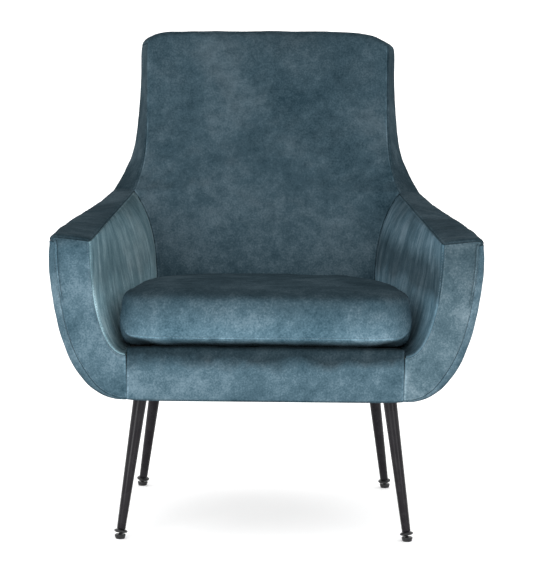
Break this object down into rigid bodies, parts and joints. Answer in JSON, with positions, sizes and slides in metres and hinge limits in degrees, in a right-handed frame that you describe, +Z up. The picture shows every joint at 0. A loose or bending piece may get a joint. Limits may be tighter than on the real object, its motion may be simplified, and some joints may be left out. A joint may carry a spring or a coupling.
{
  "type": "armchair",
  "caption": "Upholstered tub armchair in petrol blue crushed velvet with a tall reclined back, a loose seat cushion and four splayed black metal legs.",
  "frame": {"origin": "on the floor, under the middle of the chair's bounding box", "axes": "+Z up, the chair faces -Y, +X to the right of someone looking at its front"},
  "size_m": [0.748, 0.758, 0.864],
  "materials": {
    "velvet": "crushed petrol blue velvet",
    "foam": "upholstery foam",
    "lining": "black non-woven lining",
    "zip": "nylon coil zip",
    "webbing": "woven elastic webbing",
    "frame_timber": "sawn timber",
    "spring_steel": "bright wire",
    "leg_metal": "satin black powder coat",
    "bolt_steel": "zinc plated",
    "glide_plastic": "black nylon"
  },
  "bodies": {
    "chair_frame": {"right_outside_arm_cover": "velvet", "left_outside_arm_cover": "velvet", "right_inside_arm_cover": "velvet", "left_inside_arm_cover": "velvet", "right_arm_facing": "velvet", "left_arm_facing": "velvet", "inside_back_cover": "velvet", "outside_back_cover": "velvet", "top_rim_band": "velvet", "right_rim_band": "velvet", "left_rim_band": "velvet", "front_rail_cover": "velvet", "right_arm_foam": "foam", "left_arm_foam": "foam", "back_foam": "foam", "deck_pad": "foam", "deck_cover": "lining", "dust_cover": "lining", "front_rail": "frame_timber", "rear_rail": "frame_timber", "front_left_corner_block": "frame_timber", "front_right_corner_block": "frame_timber", "rear_left_corner_block": "frame_timber", "rear_right_corner_block": "frame_timber", "left_seat_rail": "frame_timber", "left_back_post": "frame_timber", "right_seat_rail": "frame_timber", "right_back_post": "frame_timber", "right_arm_rail": "frame_timber", "left_arm_rail": "frame_timber", "right_arm_post": "frame_timber", "left_arm_post": "frame_timber", "back_top_rail": "frame_timber", "back_lower_rail": "frame_timber", "seat_spring_1": "spring_steel", "seat_spring_2": "spring_steel", "seat_spring_3": "spring_steel", "seat_spring_4": "spring_steel", "back_strap_1": "webbing", "back_strap_2": "webbing", "back_strap_3": "webbing", "front_left_leg": "leg_metal", "front_left_leg_bolt": "bolt_steel", "front_right_leg": "leg_metal", "front_right_leg_bolt": "bolt_steel", "rear_left_leg": "leg_metal", "rear_left_leg_bolt": "bolt_steel", "rear_right_leg": "leg_metal", "rear_right_leg_bolt": "bolt_steel"},
    "seat_cushion": {"cushion_cover": "velvet", "cushion_foam": "foam", "cushion_zip": "zip"},
    "front_left_leveller": {"front_left_glide_stem": "glide_plastic"},
    "front_left_pad": {"front_left_glide_pad": "glide_plastic"},
    "front_right_leveller": {"front_right_glide_stem": "glide_plastic"},
    "front_right_pad": {"front_right_glide_pad": "glide_plastic"},
    "rear_left_leveller": {"rear_left_glide_stem": "glide_plastic"},
    "rear_left_pad": {"rear_left_glide_pad": "glide_plastic"},
    "rear_right_leveller": {"rear_right_glide_stem": "glide_plastic"},
    "rear_right_pad": {"rear_right_glide_pad": "glide_plastic"}
  },
  "joints": [
    {"name": "seat_cushion_lift", "type": "slide", "parent": "chair_frame", "child": "seat_cushion", "axis": [0, 0, 1], "range_m": [0, 0.35]},
    {"name": "front_left_leveller_screw", "type": "slide", "parent": "chair_frame", "child": "front_left_leveller", "axis": [-0.134, -0.134, -0.9819], "range_m": [0, 0.006]},
    {"name": "front_left_pad_tilt", "type": "hinge", "parent": "front_left_leveller", "child": "front_left_pad", "pos_m": [-0.252, -0.3, 0.0056], "axis": [0.7071, -0.7071, 0], "range_deg": [-6, 6]},
    {"name": "front_right_leveller_screw", "type": "slide", "parent": "chair_frame", "child": "front_right_leveller", "axis": [0.134, -0.134, -0.9819], "range_m": [0, 0.006]},
    {"name": "front_right_pad_tilt", "type": "hinge", "parent": "front_right_leveller", "child": "front_right_pad", "pos_m": [0.252, -0.3, 0.0056], "axis": [0.7071, 0.7071, 0], "range_deg": [-6, 6]},
    {"name": "rear_left_leveller_screw", "type": "slide", "parent": "chair_frame", "child": "rear_left_leveller", "axis": [-0.1301, 0.134, -0.9824], "range_m": [0, 0.006]},
    {"name": "rear_left_pad_tilt", "type": "hinge", "parent": "rear_left_leveller", "child": "rear_left_pad", "pos_m": [-0.233, 0.196, 0.0056], "axis": [-0.7176, -0.6965, 0], "range_deg": [-6, 6]},
    {"name": "rear_right_leveller_screw", "type": "slide", "parent": "chair_frame", "child": "rear_right_leveller", "axis": [0.1301, 0.134, -0.9824], "range_m": [0, 0.006]},
    {"name": "rear_right_pad_tilt", "type": "hinge", "parent": "rear_right_leveller", "child": "rear_right_pad", "pos_m": [0.233, 0.196, 0.0056], "axis": [-0.7176, 0.6965, 0], "range_deg": [-6, 6]}
  ]
}
